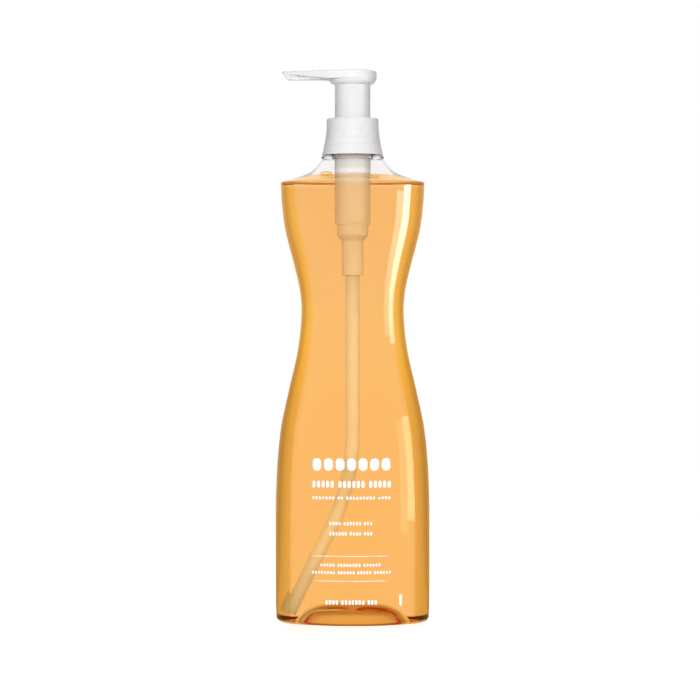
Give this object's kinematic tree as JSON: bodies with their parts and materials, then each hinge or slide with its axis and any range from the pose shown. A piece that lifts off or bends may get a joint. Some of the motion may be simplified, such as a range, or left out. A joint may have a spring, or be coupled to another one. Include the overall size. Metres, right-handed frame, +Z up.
{
  "type": "dish soap bottle with pump",
  "caption": "Clear waisted bottle of amber dish soap with a tapered white screw closure and a press-down pump with a drop-shaped head, spout, spring, valve and bent dip tube.",
  "frame": {"origin": "centre of the bottle's standing face, on the axis of the neck and pump", "axes": "+Z up along the neck's axis, -Y towards the printed front panel, -X along the spout"},
  "size_m": [0.075, 0.0574, 0.2639],
  "materials": {
    "clear_bottle": "clear blown plastic, glossy",
    "amber_soap": "clear amber liquid",
    "seal": "soft moulded plastic",
    "milky_closure": "translucent moulded plastic, satin",
    "milky_pump": "translucent moulded plastic",
    "spring_wire": "drawn wire",
    "ball_steel": "polished",
    "milky_tube": "translucent extruded tube",
    "white_head": "white moulded plastic, satin"
  },
  "bodies": {
    "bottle_body": {"bottle": "clear_bottle", "soap": "amber_soap"},
    "pump_body": {"pump_housing": "milky_pump", "gasket": "seal", "stem_guide": "milky_pump", "dip_tube": "milky_tube", "return_spring": "spring_wire"},
    "closure_body": {"closure": "milky_closure"},
    "plunger": {"stem": "milky_pump", "outlet_plug": "milky_pump"},
    "seal_body": {"piston_seal": "seal"},
    "ball_body": {"valve_ball": "ball_steel"},
    "head_body": {"actuator": "white_head"}
  },
  "joints": [
    {"name": "pump_rise", "type": "slide", "parent": "bottle_body", "child": "pump_body", "axis": [0, 0, 1], "range_m": [0, 0.00476], "deforming": ["soap"]},
    {"name": "closure_turn", "type": "hinge", "parent": "pump_body", "child": "closure_body", "pos_m": [0, 0, 0.23], "axis": [0, 0, 1], "range_deg": [0, 540]},
    {"name": "head_press", "type": "slide", "parent": "pump_body", "child": "plunger", "axis": [0, 0, -1], "range_m": [0, 0.014], "stiffness_N_per_m": 300, "springref_m": -0.02, "deforming": ["return_spring"]},
    {"name": "head_swivel", "type": "hinge", "parent": "plunger", "child": "head_body", "pos_m": [0, 0, 0.25], "axis": [0, 0, 1], "continuous": true},
    {"name": "seal_float", "type": "slide", "parent": "plunger", "child": "seal_body", "axis": [0, 0, 1], "range_m": [0, 0.0008]},
    {"name": "ball_lift", "type": "slide", "parent": "pump_body", "child": "ball_body", "axis": [0, 0, 1], "range_m": [0, 0.0012]}
  ],
  "couplings": [
    {"joint": "closure_turn", "follows": "pump_rise", "rad_per_m": 1979}
  ]
}
